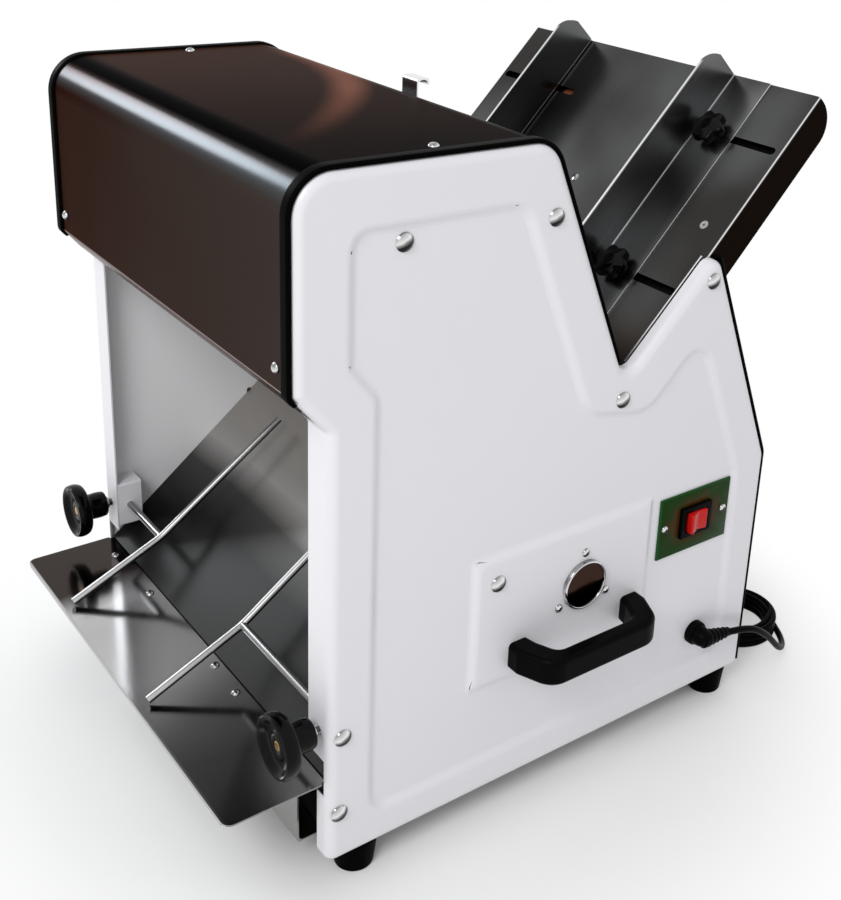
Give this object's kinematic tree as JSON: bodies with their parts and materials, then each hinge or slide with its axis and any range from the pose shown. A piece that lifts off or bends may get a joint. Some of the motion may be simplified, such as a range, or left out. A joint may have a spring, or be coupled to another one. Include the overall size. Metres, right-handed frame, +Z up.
{
  "type": "bench-top bread slicer",
  "caption": "Bench-top electric bread slicer: a tilted loaf chute with sliding fences feeds reciprocating blades, and slices land on a front tray.",
  "frame": {"origin": "on the worktop, under the middle of the machine without its lead", "axes": "+Z up, +Y from the slice tray towards the loaf chute, +X towards the side with the switch"},
  "size_m": [0.562, 0.712, 0.6521],
  "materials": {
    "white_paint": "smooth semi-gloss white paint",
    "brown_gloss": "very dark brown gloss paint",
    "inner_paint": "white paint",
    "edging": "black rubber",
    "stainless": "fine brushed stainless sheet",
    "machined": "machined steel",
    "blade_steel": "ground blade steel",
    "bright": "polished",
    "black_satin": "satin black plastic",
    "black_gloss": "glossy black plastic",
    "plate_green": "dark green plate",
    "red_gloss": "glossy red plastic",
    "motor_grey": "grey enamel",
    "belt_rubber": "black belt",
    "pulley_cast": "turned cast iron",
    "cord_black": "black cable jacket"
  },
  "bodies": {
    "body": {"side_panel_left": "white_paint", "side_panel_right": "white_paint", "frame_plates": "inner_paint", "top_cover": "brown_gloss", "rear_cover": "brown_gloss", "cover_trims": "edging", "rear_trims": "edging", "cover_tab": "stainless", "chute": "stainless", "chute_spacers": "machined", "outlet_plate": "stainless", "outlet_tray": "stainless", "front_apron": "stainless", "base_plate": "machined", "rail_brackets": "inner_paint", "guide_rods": "bright", "guide_brackets": "machined", "bearing_beam": "inner_paint", "crank_bearings": "pulley_cast", "motor": "motor_grey", "motor_mount": "inner_paint", "drive_belt": "belt_rubber", "tie_bars": "machined", "panel_screws": "bright", "bearing_caps": "bright", "carry_handles": "black_satin", "feet": "edging", "cover_screws": "bright", "fixing_screws": "bright", "switch_plate": "plate_green", "switch_housing": "black_satin", "cable_gland": "black_satin", "power_cord": "cord_black", "cord_coil": "cord_black", "cord_tie": "black_satin", "power_plug": "black_gloss"},
    "crank": {"crankshaft": "machined", "crank_pulley": "pulley_cast"},
    "motor_rotor": {"motor_pulley": "pulley_cast"},
    "blade_set_a": {"blade_frame_a": "machined", "blades_a": "blade_steel"},
    "blade_set_b": {"blade_frame_b": "machined", "blades_b": "blade_steel"},
    "rod_a": {"connecting_rod_a": "machined"},
    "rod_b": {"connecting_rod_b": "machined"},
    "left_fence": {"fence_left": "stainless", "fence_bolts_left": "bright"},
    "right_fence": {"fence_right": "stainless", "fence_bolts_right": "bright"},
    "star_knob_left_upper": {"fence_knob_left_1": "black_gloss"},
    "star_knob_left_lower": {"fence_knob_left_2": "black_gloss"},
    "star_knob_right_upper": {"fence_knob_right_1": "black_gloss"},
    "star_knob_right_lower": {"fence_knob_right_2": "black_gloss"},
    "left_rail": {"outlet_rail_left": "bright"},
    "right_rail": {"outlet_rail_right": "bright"},
    "left_clamp": {"clamp_knob_left": "black_gloss"},
    "right_clamp": {"clamp_knob_right": "black_gloss"},
    "switch_rocker": {"rocker": "red_gloss"}
  },
  "joints": [
    {"name": "crank_spin", "type": "hinge", "parent": "body", "child": "crank", "pos_m": [0, 0.03139, 0.21], "axis": [1, 0, 0], "continuous": true},
    {"name": "motor_spin", "type": "hinge", "parent": "body", "child": "motor_rotor", "pos_m": [0, 0.17078, 0.122], "axis": [1, 0, 0], "continuous": true},
    {"name": "blade_set_a_slide", "type": "slide", "parent": "body", "child": "blade_set_a", "axis": [0, -0.3907, 0.9205], "range_m": [-0.018, 0.018]},
    {"name": "blade_set_b_slide", "type": "slide", "parent": "body", "child": "blade_set_b", "axis": [0, -0.3907, 0.9205], "range_m": [-0.018, 0.018]},
    {"name": "rod_a_swing", "type": "hinge", "parent": "blade_set_a", "child": "rod_a", "pos_m": [-0.216, 0.00015, 0.26311], "axis": [1, 0, 0], "range_deg": [0, 34]},
    {"name": "rod_b_swing", "type": "hinge", "parent": "blade_set_b", "child": "rod_b", "pos_m": [0.216, 0.01488, 0.26936], "axis": [1, 0, 0], "range_deg": [-34, 0]},
    {"name": "left_fence_slide", "type": "slide", "parent": "body", "child": "left_fence", "axis": [1, 0, 0], "range_m": [-0.05, 0.046]},
    {"name": "right_fence_slide", "type": "slide", "parent": "body", "child": "right_fence", "axis": [1, 0, 0], "range_m": [-0.036, 0.058]},
    {"name": "star_left_upper_turn", "type": "hinge", "parent": "left_fence", "child": "star_knob_left_upper", "pos_m": [-0.137, 0.25588, 0.57857], "axis": [0, -0.7254, 0.6884], "continuous": true},
    {"name": "star_left_lower_turn", "type": "hinge", "parent": "left_fence", "child": "star_knob_left_lower", "pos_m": [-0.137, 0.14299, 0.45961], "axis": [0, -0.7254, 0.6884], "continuous": true},
    {"name": "star_right_upper_turn", "type": "hinge", "parent": "right_fence", "child": "star_knob_right_upper", "pos_m": [0.128, 0.25588, 0.57857], "axis": [0, -0.7254, 0.6884], "continuous": true},
    {"name": "star_right_lower_turn", "type": "hinge", "parent": "right_fence", "child": "star_knob_right_lower", "pos_m": [0.128, 0.14299, 0.45961], "axis": [0, -0.7254, 0.6884], "continuous": true},
    {"name": "left_rail_slide", "type": "slide", "parent": "body", "child": "left_rail", "axis": [1, 0, 0], "range_m": [-0.01, 0.006]},
    {"name": "right_rail_slide", "type": "slide", "parent": "body", "child": "right_rail", "axis": [1, 0, 0], "range_m": [-0.006, 0.01]},
    {"name": "left_clamp_turn", "type": "hinge", "parent": "body", "child": "left_clamp", "pos_m": [-0.2185, -0.23022, 0.1575], "axis": [0, 1, 0], "continuous": true},
    {"name": "right_clamp_turn", "type": "hinge", "parent": "body", "child": "right_clamp", "pos_m": [0.2185, -0.23022, 0.1575], "axis": [0, 1, 0], "continuous": true},
    {"name": "rocker_tip", "type": "hinge", "parent": "body", "child": "switch_rocker", "pos_m": [0.231, 0.17128, 0.232], "axis": [0, 0, 1], "range_deg": [-16, 0]}
  ],
  "couplings": [
    {"joint": "motor_spin", "follows": "crank_spin", "ratio": 1.5},
    {"joint": "blade_set_b_slide", "follows": "blade_set_a_slide", "ratio": -1}
  ]
}
